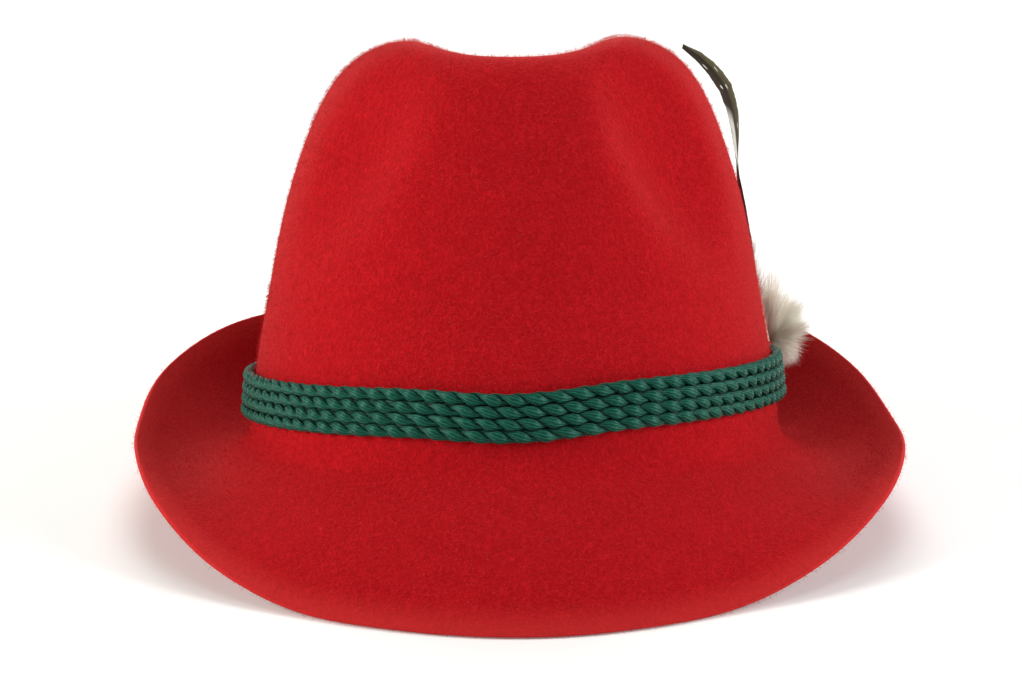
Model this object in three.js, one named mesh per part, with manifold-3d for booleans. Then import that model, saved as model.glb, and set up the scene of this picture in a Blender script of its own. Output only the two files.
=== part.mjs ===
// A felt trilby: one blocked hood of crown and brim, a band of four twisted cords, and a brush of
// fur with two feathers at the wearer's left. Millimetres, +Z up, the front of the hat towards -Y.
import * as THREE from "three";
import { mergeVertices } from "three/addons/utils/BufferGeometryUtils.js";
import Module from "manifold-3d";

// Hood sizes
const HEAD_LENGTH = 199;
const HEAD_WIDTH = 166;
const FELT_THICKNESS = 2.2;
const CROWN_HEIGHT = 127.6;
const CROWN_BACK_FALL = 7;
const CROWN_RISE_TO_LEFT = 1.6;
const FRONT_KEEL = 1.6;
const FRONT_KEEL_SPREAD_DEG = 20;
const BRIM_REACH = 44;
const BRIM_TUCK = 3.2;
const BRIM_DROP = 46;
const BRIM_ROOT_BEND = 4;
const REST_FLATTENING = 0.8;

// Dents of the crown
const CREASE_DEPTH = 18.2;
const CREASE_HALF_WIDTH = 36;
const CREASE_FRONT_END = 76;
const CREASE_BACK_END = 84;
const CREASE_RUN_IN = 56;
const CREASE_LOW_SHARE = 0.72;
const CREASE_FULL_SHARE = 0.92;
const PINCH_DEPTH = 10;
const PINCH_HALF_WIDTH = 27;
const PINCH_HALF_LENGTH = 42;
const PINCH_SIDE = 49;
const PINCH_FORWARD = 57;
const PINCH_HEIGHT = 90;

// Cord band
const CORD_COUNT = 4;
const CORD_DIAMETER = 3.3;
const CORD_GAP = 0.2;
const BAND_CLEARANCE = 0.3;
const BAND_LOW_HEIGHT = 3.8;
const BAND_RISE_TO_LEFT = 5.8;
const BAND_FRONT_DIP = 2.2;
const BAND_DIP_SPREAD_DEG = 24;

// Fur brush and feathers
const BRUSH_TURN_DEG = 108;
const BRUSH_CLEARANCE = 0.3;
const BRUSH_HEAD_RADIUS = 3.3;
const LOCK_COUNT = 16;
const LOCK_LENGTH = 14;
const LOCK_RADIUS = 2.4;
const LOCK_SPREAD_DEG = 68;
const LOCK_LEAN_DEG = 8;
const LOCK_CURL = 0.8;
const LONG_FEATHER_LENGTH = 104;
const LONG_FEATHER_WIDTH = 19;
const LONG_FEATHER_LIFT = 10;
const SHORT_FEATHER_LENGTH = 80;
const SHORT_FEATHER_WIDTH = 15;
const SHORT_FEATHER_LIFT = 9;
const FEATHER_THICKNESS = 1.1;
const QUILL_CLEARANCE = 0.3;

// Fineness of the meshes
const SEGMENTS = 64;
const CROWN_RINGS = 18;
const BRIM_RINGS = 10;
const CORD_SIDES = 6;
const LOCK_SIDES = 5;
const FEATHER_STATIONS = 16;

// The step in turn and station over which slopes of the felt are read, and the highest station read.
const SURFACE_STEP = 0.004;
const HIGHEST_STATION = 0.985;

// Directions of the pinch at the wearer's left, mirrored for the right: along it, and pushed in.
const PINCH_LINE = { x: 0.42, y: 0.1, z: -0.9 };
const PINCH_PUSH = { x: -0.66, y: 0.6, z: -0.45 };

// The two pinches: side 1 is the wearer's left. Depth, width and length are shares of the named
// sizes, and rim is how sharply the dent starts, 1 for a crisp edge and 2 for a soft one.
const PINCHES = [
  { side: 1, depth: 1.0, width: 1.0, length: 1.0, rim: 1.4 },
  { side: -1, depth: 0.6, width: 1.05, length: 1.1, rim: 2.0 },
];

// Crown sections from the brim line up. Height is a share of the crown height; side, front and back
// are shares of the half width and half length at the brim line.
const CROWN_SECTIONS = [
  { height: 0.0, side: 1.0, front: 1.0, back: 1.0 },
  { height: 0.14, side: 0.984, front: 0.98, back: 0.988 },
  { height: 0.29, side: 0.946, front: 0.93, back: 0.965 },
  { height: 0.44, side: 0.906, front: 0.88, back: 0.942 },
  { height: 0.58, side: 0.862, front: 0.832, back: 0.915 },
  { height: 0.71, side: 0.806, front: 0.782, back: 0.878 },
  { height: 0.82, side: 0.746, front: 0.726, back: 0.832 },
  { height: 0.9, side: 0.68, front: 0.664, back: 0.77 },
  { height: 0.955, side: 0.6, front: 0.59, back: 0.695 },
  { height: 0.985, side: 0.51, front: 0.5, back: 0.6 },
  { height: 0.998, side: 0.4, front: 0.39, back: 0.475 },
  { height: 1.0, side: 0.27, front: 0.265, back: 0.33 },
  { height: 1.0, side: 0.135, front: 0.132, back: 0.165 },
  { height: 1.0, side: 0.0, front: 0.0, back: 0.0 },
];

// Brim sections by degrees round from the front. Reach is a share of the brim reach, rise a share of
// the brim drop; root and edge are the slopes in degrees where the section starts and ends.
const BRIM_SECTIONS = [
  { turn: 0, reach: 0.86, rise: -1.0, root: -42, edge: -56 },
  { turn: 15, reach: 0.87, rise: -0.975, root: -42, edge: -54 },
  { turn: 30, reach: 0.89, rise: -0.9, root: -41, edge: -47 },
  { turn: 45, reach: 0.96, rise: -0.65, root: -39, edge: -22 },
  { turn: 60, reach: 0.98, rise: -0.32, root: -36, edge: 6 },
  { turn: 75, reach: 0.93, rise: -0.08, root: -33, edge: 28 },
  { turn: 90, reach: 0.87, rise: 0.05, root: -30, edge: 40 },
  { turn: 110, reach: 0.87, rise: 0.34, root: -22, edge: 52 },
  { turn: 135, reach: 0.84, rise: 0.62, root: -14, edge: 62 },
  { turn: 180, reach: 0.7, rise: 0.74, root: -10, edge: 72 },
];

// A lock from its root to near its tip, with its radius as a share of the lock radius. Locks that
// point upwards are longer by the gain.
const LOCK_UPWARD_GAIN = 0.3;
const LOCK_SECTIONS = [
  { along: 0.0, radius: 0.6 },
  { along: 0.3, radius: 1.0 },
  { along: 0.62, radius: 0.78 },
  { along: 0.86, radius: 0.4 },
];

// A feather from quill to tip. Along is a share of its length, lift and width are shares of its own
// lift and width, and twist turns its front edge towards the felt, in degrees.
const FEATHER_SECTIONS = [
  { along: 0.0, lift: 0.115, width: 0.08, twist: 0 },
  { along: 0.14, lift: 0.115, width: 0.1, twist: 0 },
  { along: 0.22, lift: 0.12, width: 0.42, twist: 0 },
  { along: 0.36, lift: 0.16, width: 0.84, twist: 2 },
  { along: 0.54, lift: 0.3, width: 1.0, twist: 9 },
  { along: 0.66, lift: 0.68, width: 1.0, twist: 19 },
  { along: 0.78, lift: 0.94, width: 0.94, twist: 26 },
  { along: 0.9, lift: 0.86, width: 0.74, twist: 28 },
  { along: 1.0, lift: 0.56, width: 0.16, twist: 28 },
];

// The outline across a feather, by half widths across and thicknesses off its face.
const FEATHER_OUTLINE = [
  { across: -1, face: -0.7 },
  { across: -0.5, face: 0.16 },
  { across: 0, face: 0.5 },
  { across: 0.5, face: 0.16 },
  { across: 1, face: -0.7 },
  { across: 0.5, face: -0.62 },
  { across: 0, face: -0.5 },
  { across: -0.5, face: -0.62 },
];

// Where the cut edge is drawn in, by degrees round from the front with the wearer's left positive:
// the middle of the place, how far it spreads to each side, and its depth as a share of the tuck.
const BRIM_TUCKS = [
  { turn: -75, spread: 52, depth: 1.0 },
  { turn: 34, spread: 30, depth: 0.7 },
  { turn: 108, spread: 36, depth: 0.8 },
];

// How round a brim section is, and the share of it that bends at the root.
const SECTION_FULLNESS = 0.38;
const BEND_SHARE = 0.14;

// Where each feather starts round from the brush, and how far it leans back over its length, in
// degrees round the crown.
const FEATHERS = [
  {
    name: "long_feather",
    length: LONG_FEATHER_LENGTH,
    width: LONG_FEATHER_WIDTH,
    lift: LONG_FEATHER_LIFT,
    start: -12,
    lean: 3,
  },
  {
    name: "short_feather",
    length: SHORT_FEATHER_LENGTH,
    width: SHORT_FEATHER_WIDTH,
    lift: SHORT_FEATHER_LIFT,
    start: 1,
    lean: 22,
  },
];

const crownHalfWidth = HEAD_WIDTH / 2 + FELT_THICKNESS;
const crownHalfLength = HEAD_LENGTH / 2 + FELT_THICKNESS;

const feltRed = new THREE.MeshStandardMaterial({ color: "#b9161d", roughness: 0.95, metalness: 0 });
const cordGreen = new THREE.MeshStandardMaterial({ color: "#1f5a4c", roughness: 0.45, metalness: 0 });
const furWhite = new THREE.MeshStandardMaterial({ color: "#cfc8bb", roughness: 0.9, metalness: 0 });
const featherBrown = new THREE.MeshStandardMaterial({ color: "#2c2622", roughness: 0.6, metalness: 0 });

function ramp(value) {
  const t = Math.min(1, Math.max(0, value));
  return t * t * (3 - 2 * t);
}

function toRadians(degrees) {
  return THREE.MathUtils.degToRad(degrees);
}

function bell(value) {
  return Math.abs(value) >= 1 ? 0 : Math.cos((value * Math.PI) / 2) ** 2;
}

// A column of a table read between its rows with a smooth curve through every row.
function tableValue(rows, positions, column, at) {
  let low = 0;
  while (low < rows.length - 2 && positions[low + 1] < at) low += 1;
  const slopeAt = (index) => {
    const before = Math.max(index - 1, 0);
    const after = Math.min(index + 1, rows.length - 1);
    if (before === index || after === index) return 0;
    return (rows[after][column] - rows[before][column]) / (positions[after] - positions[before]);
  };
  const span = positions[low + 1] - positions[low];
  const t = (at - positions[low]) / span;
  const start = rows[low][column];
  const end = rows[low + 1][column];
  const leave = slopeAt(low) * span;
  const arrive = slopeAt(low + 1) * span;
  const bend = 2 * (start - end) + leave + arrive;
  return start + t * (leave + t * (3 * (end - start) - 2 * leave - arrive + t * bend));
}

const crownPositions = CROWN_SECTIONS.map((section, index) => index / (CROWN_SECTIONS.length - 1));
const brimPositions = BRIM_SECTIONS.map((section) => section.turn);
const featherPositions = FEATHER_SECTIONS.map((section) => section.along);

// The blocked crown before it is dented. Climb runs from 0 at the brim line to 1 at the tip.
function openCrownPoint(turn, climb) {
  const read = (column) => tableValue(CROWN_SECTIONS, crownPositions, column, climb);
  const front = crownHalfLength * read("front");
  const back = crownHalfLength * read("back");
  const height = read("height");
  const fromFront = Math.atan2(Math.sin(turn), Math.cos(turn));
  const keel = FRONT_KEEL * bell(fromFront / toRadians(FRONT_KEEL_SPREAD_DEG)) * (1 - height);
  const x = crownHalfWidth * read("side") * Math.sin(turn);
  const y = (back - front) / 2 - ((back + front) / 2) * Math.cos(turn) - keel;
  const fall = CROWN_BACK_FALL * ramp((y + crownHalfLength) / (2 * crownHalfLength));
  const rise = CROWN_RISE_TO_LEFT * (x / crownHalfWidth);
  return new THREE.Vector3(x, y, CROWN_HEIGHT * height + (rise - fall) * height ** 2);
}

// How far the crease sinks a place: most along the middle of the top, nothing on the walls.
function creaseAt(point) {
  const across = bell(point.x / CREASE_HALF_WIDTH);
  const fromFront = ramp((point.y + CREASE_FRONT_END) / CREASE_RUN_IN);
  const fromBack = ramp((CREASE_BACK_END - point.y) / CREASE_RUN_IN);
  const height = point.z / CROWN_HEIGHT;
  const onTop = ramp((height - CREASE_LOW_SHARE) / (CREASE_FULL_SHARE - CREASE_LOW_SHARE));
  return CREASE_DEPTH * across * fromFront * fromBack * onTop;
}

// How deep a finger pinch is at a place.
function pinchAt(point, { side, depth, width, length, rim }) {
  const centre = new THREE.Vector3(side * PINCH_SIDE, -PINCH_FORWARD, PINCH_HEIGHT);
  const lengthwise = new THREE.Vector3(side * PINCH_LINE.x, PINCH_LINE.y, PINCH_LINE.z).normalize();
  const offset = point.clone().sub(centre);
  const along = offset.dot(lengthwise);
  const across = offset.addScaledVector(lengthwise, -along).length();
  const reach = Math.hypot(along / (PINCH_HALF_LENGTH * length), across / (PINCH_HALF_WIDTH * width));
  return PINCH_DEPTH * depth * Math.max(0, 1 - reach ** 2) ** rim;
}

// The crown with its crease and both pinches.
function crownPoint(turn, climb) {
  const open = openCrownPoint(turn, climb);
  const dented = open.clone();
  for (const pinch of PINCHES) {
    const push = new THREE.Vector3(pinch.side * PINCH_PUSH.x, PINCH_PUSH.y, PINCH_PUSH.z);
    dented.addScaledVector(push.normalize(), pinchAt(open, pinch));
  }
  dented.z -= creaseAt(open);
  return dented;
}

// A point away from another by a length at a slope, in the plane of a brim section.
function stepAlong(from, length, slope) {
  return new THREE.Vector2(from.x + length * Math.cos(slope), from.y + length * Math.sin(slope));
}

// The brim from the crown's foot, reach 0, to its cut edge, reach 1, with a tight bend at the root.
function brimPoint(turn, reach) {
  const degrees = THREE.MathUtils.radToDeg(Math.atan2(Math.sin(turn), Math.cos(turn)));
  const read = (column) => tableValue(BRIM_SECTIONS, brimPositions, column, Math.abs(degrees));
  const rootSlope = toRadians(read("root"));
  const edgeSlope = toRadians(read("edge"));
  const foot = new THREE.Vector2(0, 0);
  const corner = new THREE.Vector2(0, -BRIM_ROOT_BEND);
  const root = stepAlong(corner, BRIM_ROOT_BEND, rootSlope);
  const tuckAt = ({ turn: middle, spread, depth }) => depth * bell((degrees - middle) / spread);
  const tuck = BRIM_TUCK * BRIM_TUCKS.map(tuckAt).reduce((sum, value) => sum + value);
  const edge = new THREE.Vector2(BRIM_REACH * read("reach") - tuck, BRIM_DROP * read("rise"));
  const handle = edge.distanceTo(root) * SECTION_FULLNESS;
  const rootHandle = stepAlong(root, handle, rootSlope);
  const edgeHandle = stepAlong(edge, -handle, edgeSlope);
  const bend = new THREE.QuadraticBezierCurve(foot, corner, root);
  const sweep = new THREE.CubicBezierCurve(root, rootHandle, edgeHandle, edge);
  const section =
    reach < BEND_SHARE
      ? bend.getPoint(reach / BEND_SHARE)
      : sweep.getPoint((reach - BEND_SHARE) / (1 - BEND_SHARE));
  const outward = new THREE.Vector3(
    crownHalfLength * Math.sin(turn),
    -crownHalfWidth * Math.cos(turn),
    0,
  ).normalize();
  const point = openCrownPoint(turn, 0).addScaledVector(outward, section.x);
  point.z += section.y;
  return point;
}

// The whole outer face: station -1 at the brim's cut edge, 0 at the crown's foot, 1 at the tip.
function hoodPoint(turn, station) {
  return station < 0 ? brimPoint(turn, -station) : crownPoint(turn, station);
}

// The direction straight out of the outer face.
function hoodNormal(turn, station) {
  const low = Math.max(-1, station - SURFACE_STEP);
  const high = Math.min(HIGHEST_STATION, station + SURFACE_STEP);
  const round = hoodPoint(turn + SURFACE_STEP, station).sub(hoodPoint(turn - SURFACE_STEP, station));
  const climb = hoodPoint(turn, high).sub(hoodPoint(turn, Math.min(low, high - SURFACE_STEP)));
  return round.cross(climb).normalize();
}

// A closed skin over rings of points, joined end to end when it has no caps.
function closedGrid(rings, capStart, capEnd) {
  const segments = rings[0].length;
  const positions = [];
  rings.forEach((ring) => ring.forEach((point) => positions.push(point.x, point.y, point.z)));
  const indices = [];
  const pairs = capStart ? rings.length - 1 : rings.length;
  for (let ring = 0; ring < pairs; ring += 1) {
    const next = (ring + 1) % rings.length;
    for (let segment = 0; segment < segments; segment += 1) {
      const beside = (segment + 1) % segments;
      const a = ring * segments + segment;
      const b = ring * segments + beside;
      const c = next * segments + beside;
      const d = next * segments + segment;
      indices.push(a, b, c, a, c, d);
    }
  }
  const cap = (tip, ring, flip) => {
    const index = positions.length / 3;
    positions.push(tip.x, tip.y, tip.z);
    for (let segment = 0; segment < segments; segment += 1) {
      const a = ring * segments + segment;
      const b = ring * segments + ((segment + 1) % segments);
      indices.push(...(flip ? [b, a, index] : [a, b, index]));
    }
  };
  if (capStart) cap(capStart, 0, true);
  if (capEnd) cap(capEnd, rings.length - 1, false);
  const geometry = new THREE.BufferGeometry();
  geometry.setAttribute("position", new THREE.Float32BufferAttribute(positions, 3));
  geometry.setIndex(indices);
  return geometry;
}

function turnOf(segment) {
  return (segment / SEGMENTS) * Math.PI * 2;
}

const stations = [];
for (let ring = BRIM_RINGS; ring > 0; ring -= 1) stations.push(-ring / BRIM_RINGS);
for (let ring = 0; ring < CROWN_RINGS; ring += 1) stations.push(ring / CROWN_RINGS);

// The plane on which the hat rests: it touches the underside in front and behind.
function restingPlane(undersidePoints) {
  let slope = 0;
  const lowest = (wanted) => {
    const points = undersidePoints.filter(wanted);
    return points.reduce((best, p) => (p.z - slope * p.y < best.z - slope * best.y ? p : best));
  };
  for (let pass = 0; pass < 12; pass += 1) {
    const front = lowest((p) => p.y < 0);
    const back = lowest((p) => p.y >= 0);
    slope = (back.z - front.z) / (back.y - front.y);
  }
  const touch = lowest(() => true);
  const up = new THREE.Vector3(0, -slope, 1).normalize();
  return new THREE.Plane(up, -up.dot(touch) - REST_FLATTENING);
}

// Rings of points on the outer face and, one felt thickness in, on the inner face.
function hoodSurfaces() {
  const ringAt = (station, depth) =>
    Array.from({ length: SEGMENTS }, (_, segment) => {
      const turn = turnOf(segment);
      return hoodPoint(turn, station).addScaledVector(hoodNormal(turn, station), -depth);
    });
  const outer = stations.map((station) => ringAt(station, 0));
  const inner = stations.map((station) => ringAt(station, FELT_THICKNESS));
  return { outer, inner };
}

const surfaces = hoodSurfaces();
const floor = restingPlane(surfaces.inner.flat());

// Presses a point that lies below the resting plane up onto it.
function settle(point) {
  const height = floor.distanceToPoint(point);
  if (height < 0) point.addScaledVector(floor.normal, -height);
  return point;
}

function hoodGeometry() {
  const { outer, inner } = surfaces;
  outer.flat().forEach(settle);
  inner.flat().forEach(settle);
  const outerTip = crownPoint(0, 1);
  const innerTip = outerTip.clone();
  innerTip.z -= FELT_THICKNESS;
  return closedGrid([...inner.reverse(), ...outer], innerTip, outerTip);
}

// A place on the felt with its directions: outward, round towards the back by the left, and up.
function feltFrame(turn, climb, lift) {
  const outward = hoodNormal(turn, climb);
  const ahead = hoodPoint(turn + SURFACE_STEP, climb);
  const round = ahead.sub(hoodPoint(turn - SURFACE_STEP, climb)).normalize();
  const up = outward.clone().cross(round);
  const point = hoodPoint(turn, climb).addScaledVector(outward, lift);
  return { point, outward, round, up };
}

// The station on the crown wall that lies at a height.
function climbAtHeight(turn, height) {
  let low = 0;
  let high = 0.5;
  for (let pass = 0; pass < 24; pass += 1) {
    const middle = (low + high) / 2;
    if (hoodPoint(turn, middle).z < height) low = middle;
    else high = middle;
  }
  return (low + high) / 2;
}

const cordPitch = CORD_DIAMETER + CORD_GAP;

// The height of the band's lower edge, highest at the wearer's left, with a dip at the front.
function bandFoot(turn) {
  const fromFront = Math.atan2(Math.sin(turn), Math.cos(turn));
  const dip = BAND_FRONT_DIP * bell(fromFront / toRadians(BAND_DIP_SPREAD_DEG));
  return BAND_LOW_HEIGHT + (BAND_RISE_TO_LEFT * (1 + Math.sin(turn))) / 2 - dip;
}

// One cord of the band, counted from the lowest.
function cordGeometry(order) {
  const radius = CORD_DIAMETER / 2;
  const rings = Array.from({ length: SEGMENTS }, (_, segment) => {
    const turn = turnOf(segment);
    const climb = climbAtHeight(turn, bandFoot(turn) + radius + order * cordPitch);
    const { point, outward, up } = feltFrame(turn, climb, BAND_CLEARANCE + radius);
    return Array.from({ length: CORD_SIDES }, (_, side) => {
      const angle = (side / CORD_SIDES) * Math.PI * 2;
      return point
        .clone()
        .addScaledVector(outward, radius * Math.cos(angle))
        .addScaledVector(up, -radius * Math.sin(angle));
    });
  });
  return closedGrid(rings);
}

const wasm = await Module();
wasm.setup();

function toSolid(geometry) {
  const bare = geometry.clone();
  bare.deleteAttribute("normal");
  bare.deleteAttribute("uv");
  const merged = mergeVertices(bare, 1e-4);
  const vertProperties = new Float32Array(merged.getAttribute("position").array);
  const triVerts = new Uint32Array(merged.index.array);
  return new wasm.Manifold(new wasm.Mesh({ numProp: 3, vertProperties, triVerts }));
}

function fromSolid(solid) {
  const mesh = solid.getMesh();
  const geometry = new THREE.BufferGeometry();
  geometry.setAttribute("position", new THREE.BufferAttribute(mesh.vertProperties, 3));
  geometry.setIndex(new THREE.BufferAttribute(mesh.triVerts, 1));
  return geometry;
}

// The height of the band's upper edge.
function bandTop(turn) {
  return bandFoot(turn) + (CORD_COUNT - 1) * cordPitch + CORD_DIAMETER;
}

// The brush's head stands just outside the band, with its middle at the band's upper edge.
const brushTurn = toRadians(BRUSH_TURN_DEG);
const brush = feltFrame(
  brushTurn,
  climbAtHeight(brushTurn, bandTop(brushTurn)),
  BAND_CLEARANCE + CORD_DIAMETER + BRUSH_CLEARANCE + BRUSH_HEAD_RADIUS,
);

// One tapering lock of fur. The locks fan out round an axis that leans down a little from straight
// outwards, and curl upwards.
function lockGeometry(order) {
  const goldenAngle = Math.PI * (3 - Math.sqrt(5));
  const lean = toRadians(LOCK_LEAN_DEG);
  const axis = brush.outward.clone().multiplyScalar(Math.cos(lean));
  axis.addScaledVector(brush.up, -Math.sin(lean));
  const rise = brush.up.clone().multiplyScalar(Math.cos(lean));
  rise.addScaledVector(brush.outward, Math.sin(lean));
  const spread = toRadians(LOCK_SPREAD_DEG) * Math.sqrt((order + 0.5) / LOCK_COUNT);
  const aside = brush.round
    .clone()
    .multiplyScalar(Math.cos(order * goldenAngle))
    .addScaledVector(rise, Math.sin(order * goldenAngle));
  const along = axis.multiplyScalar(Math.cos(spread)).addScaledVector(aside, Math.sin(spread));
  const reach = 1 + LOCK_UPWARD_GAIN * along.dot(brush.up);
  const across = along.clone().cross(brush.round).normalize();
  const beside = along.clone().cross(across);
  const centreAt = (share) =>
    brush.point
      .clone()
      .addScaledVector(along, LOCK_LENGTH * reach * share)
      .addScaledVector(brush.up, LOCK_CURL * share ** 2);
  const rings = LOCK_SECTIONS.map(({ along: share, radius }) =>
    Array.from({ length: LOCK_SIDES }, (_, side) => {
      const angle = (side / LOCK_SIDES) * Math.PI * 2;
      return centreAt(share)
        .addScaledVector(across, LOCK_RADIUS * radius * Math.cos(angle))
        .addScaledVector(beside, LOCK_RADIUS * radius * Math.sin(angle));
    }),
  );
  return closedGrid(rings, centreAt(0), centreAt(1));
}

// The brush: a round head with its locks fused to it.
function brushGeometry() {
  const head = new THREE.SphereGeometry(BRUSH_HEAD_RADIUS, 10, 7);
  head.translate(brush.point.x, brush.point.y, brush.point.z);
  let solid = toSolid(head);
  for (let order = 0; order < LOCK_COUNT; order += 1) solid = solid.add(toSolid(lockGeometry(order)));
  return fromSolid(solid);
}

// A feather that follows the felt upwards from the band and lifts off it towards its tip.
function featherGeometry(feather) {
  let turn = brushTurn + toRadians(feather.start);
  let climb = climbAtHeight(turn, bandTop(turn) + QUILL_CLEARANCE);
  const step = feather.length / FEATHER_STATIONS;
  const lean = toRadians(feather.lean) / FEATHER_STATIONS;
  const rings = [];
  const centres = [];
  for (let station = 0; station <= FEATHER_STATIONS; station += 1) {
    const read = (column) =>
      tableValue(FEATHER_SECTIONS, featherPositions, column, station / FEATHER_STATIONS);
    const { point, outward, round } = feltFrame(turn, climb, feather.lift * read("lift"));
    const twist = toRadians(read("twist"));
    const across = round
      .clone()
      .multiplyScalar(Math.cos(twist))
      .addScaledVector(outward, Math.sin(twist));
    const face = outward
      .clone()
      .multiplyScalar(Math.cos(twist))
      .addScaledVector(round, -Math.sin(twist));
    const half = (feather.width * read("width")) / 2;
    rings.push(
      FEATHER_OUTLINE.map((corner) =>
        point
          .clone()
          .addScaledVector(across, half * corner.across)
          .addScaledVector(face, FEATHER_THICKNESS * corner.face),
      ),
    );
    centres.push(point);
    const nearby = { below: climb - SURFACE_STEP, above: climb + SURFACE_STEP };
    const rise = hoodPoint(turn, nearby.above).distanceTo(hoodPoint(turn, nearby.below));
    climb += (step * 2 * SURFACE_STEP) / rise;
    turn += lean;
  }
  return closedGrid(rings, centres[0], centres[centres.length - 1]);
}

const hat = new THREE.Group();

function addMesh(name, geometry, material) {
  const mesh = new THREE.Mesh(geometry, material);
  mesh.name = name;
  hat.add(mesh);
}

addMesh("felt_hood", hoodGeometry(), feltRed);
for (let order = 0; order < CORD_COUNT; order += 1) {
  addMesh("band_cord_" + (order + 1), cordGeometry(order), cordGreen);
}
addMesh("fur_tuft", brushGeometry(), furWhite);
FEATHERS.forEach((feather) => addMesh(feather.name, featherGeometry(feather), featherBrown));

hat.rotation.x = -Math.atan2(-floor.normal.y, floor.normal.z);
hat.updateMatrixWorld(true);
const part = new THREE.Group();
part.add(hat);
const extent = new THREE.Box3().setFromObject(hat, true);
hat.position.set(
  -(extent.min.x + extent.max.x) / 2,
  -(extent.min.y + extent.max.y) / 2,
  -extent.min.z,
);

export default part;
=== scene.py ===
"""Looks of a felt trilby for Blender 4.5: its felt, cord band, fur brush and feathers."""

import math
import random
from functools import partial

import bmesh
import bpy
import numpy as np
from mathutils import Matrix, Vector, noise
from mathutils.bvhtree import BVHTree
from mathutils.kdtree import KDTree


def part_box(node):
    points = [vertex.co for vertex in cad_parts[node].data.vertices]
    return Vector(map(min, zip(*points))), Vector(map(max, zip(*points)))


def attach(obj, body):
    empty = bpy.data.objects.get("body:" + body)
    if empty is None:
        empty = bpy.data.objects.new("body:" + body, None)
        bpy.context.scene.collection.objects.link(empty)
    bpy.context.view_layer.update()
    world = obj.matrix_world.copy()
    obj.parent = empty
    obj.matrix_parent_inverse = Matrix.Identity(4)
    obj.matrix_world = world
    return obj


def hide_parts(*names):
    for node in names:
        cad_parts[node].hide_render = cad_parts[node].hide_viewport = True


bl_info = {
    "name": "Felt Trilby",
    "version": (1, 0, 0),
    "blender": (4, 5, 0),
    "location": "3D View > Sidebar > Trilby",
    "description": "Dresses the solids of a trilby with velour felt, twisted cord, fur and feathers",
    "category": "Object",
}

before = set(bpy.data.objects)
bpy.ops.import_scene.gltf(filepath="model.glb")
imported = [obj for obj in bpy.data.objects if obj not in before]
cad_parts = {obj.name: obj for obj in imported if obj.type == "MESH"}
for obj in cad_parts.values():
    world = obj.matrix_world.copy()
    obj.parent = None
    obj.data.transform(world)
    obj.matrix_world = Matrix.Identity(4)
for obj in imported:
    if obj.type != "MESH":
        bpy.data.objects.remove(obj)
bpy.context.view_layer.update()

MM = 0.001
PER_METRE = 1000  # over a size in millimetres, this is a texture's scale
CORD_NODES = ["band_cord_1", "band_cord_2", "band_cord_3", "band_cord_4"]
FEATHER_NODES = ["long_feather", "short_feather"]
UP = Vector((0, 0, 1))


# Small helpers


def linear(color):
    """An sRGB hex colour as linear red, green, blue and alpha."""
    parts = [int(color[i : i + 2], 16) / 255 for i in (1, 3, 5)]
    return tuple(c / 12.92 if c <= 0.04045 else ((c + 0.055) / 1.055) ** 2.4 for c in parts) + (1.0,)


def opaque(color):
    """A colour property's linear values with the alpha that a colour socket takes."""
    return (*color, 1.0)


def object_of(name, data, materials=()):
    """A new object at the origin in the scene's collection."""
    made = bpy.data.objects.new(name, data)
    bpy.context.scene.collection.objects.link(made)
    for material in materials:
        made.data.materials.append(material)
    return made


def smooth(mesh):
    """Shades every face of a mesh smooth."""
    mesh.polygons.foreach_set("use_smooth", [True] * len(mesh.polygons))


def mesh_of(name, shape, soft=False):
    """Turns a bmesh into a mesh, shaded smooth if it is soft, and frees the bmesh."""
    mesh = bpy.data.meshes.new(name)
    shape.to_mesh(mesh)
    shape.free()
    if soft:
        smooth(mesh)
    return mesh


def baked(source, name, materials=()):
    """The evaluated shape of an object as a plain mesh object, in place of the source."""
    depsgraph = bpy.context.evaluated_depsgraph_get()
    mesh = bpy.data.meshes.new_from_object(source.evaluated_get(depsgraph), depsgraph=depsgraph)
    mesh.name = name
    mesh.materials.clear()
    bpy.data.objects.remove(source)
    return object_of(name, mesh, materials)


def write_attribute(mesh, name, values):
    """Writes one number for each point of a mesh, for its material to read."""
    mesh.attributes.new(name, "FLOAT", "POINT").data.foreach_set("value", values)


def welded(node):
    """A CAD node's shape as a bmesh with its doubles merged and its triangles joined to quads."""
    shape = bmesh.new()
    shape.from_mesh(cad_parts[node].data)
    bmesh.ops.remove_doubles(shape, verts=shape.verts, dist=0.01 * MM)
    bmesh.ops.join_triangles(
        shape,
        faces=shape.faces,
        angle_face_threshold=math.radians(40),
        angle_shape_threshold=math.radians(60),
    )
    return shape


def section(node, origin, normal):
    """Points where a CAD node's surface crosses a plane."""
    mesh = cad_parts[node].data
    places = np.empty(len(mesh.vertices) * 3)
    mesh.vertices.foreach_get("co", places)
    places = places.reshape(-1, 3)
    pairs = np.empty(len(mesh.edges) * 2, dtype=np.int64)
    mesh.edges.foreach_get("vertices", pairs)
    pairs = pairs.reshape(-1, 2)
    side = (places - np.asarray(origin)) @ np.asarray(normal)
    start, end = side[pairs[:, 0]], side[pairs[:, 1]]
    cut = (start < 0) != (end < 0)
    share = (start[cut] / (start[cut] - end[cut]))[:, None]
    a, b = places[pairs[cut, 0]], places[pairs[cut, 1]]
    return a + (b - a) * share


def unit(rows):
    """Each row of an array at a length of one."""
    return rows / np.linalg.norm(rows, axis=1)[:, None]


def astray(dice, size):
    """A random step, each of its three parts usually within a size."""
    return Vector([dice.gauss(0, size) for _ in range(3)])


def ridden(piece, slot, *nodes):
    """Ties a piece to the frame and hides the CAD nodes that it stands for; the slot is not used."""
    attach(piece, "root")
    if nodes:
        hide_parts(*nodes)


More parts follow.
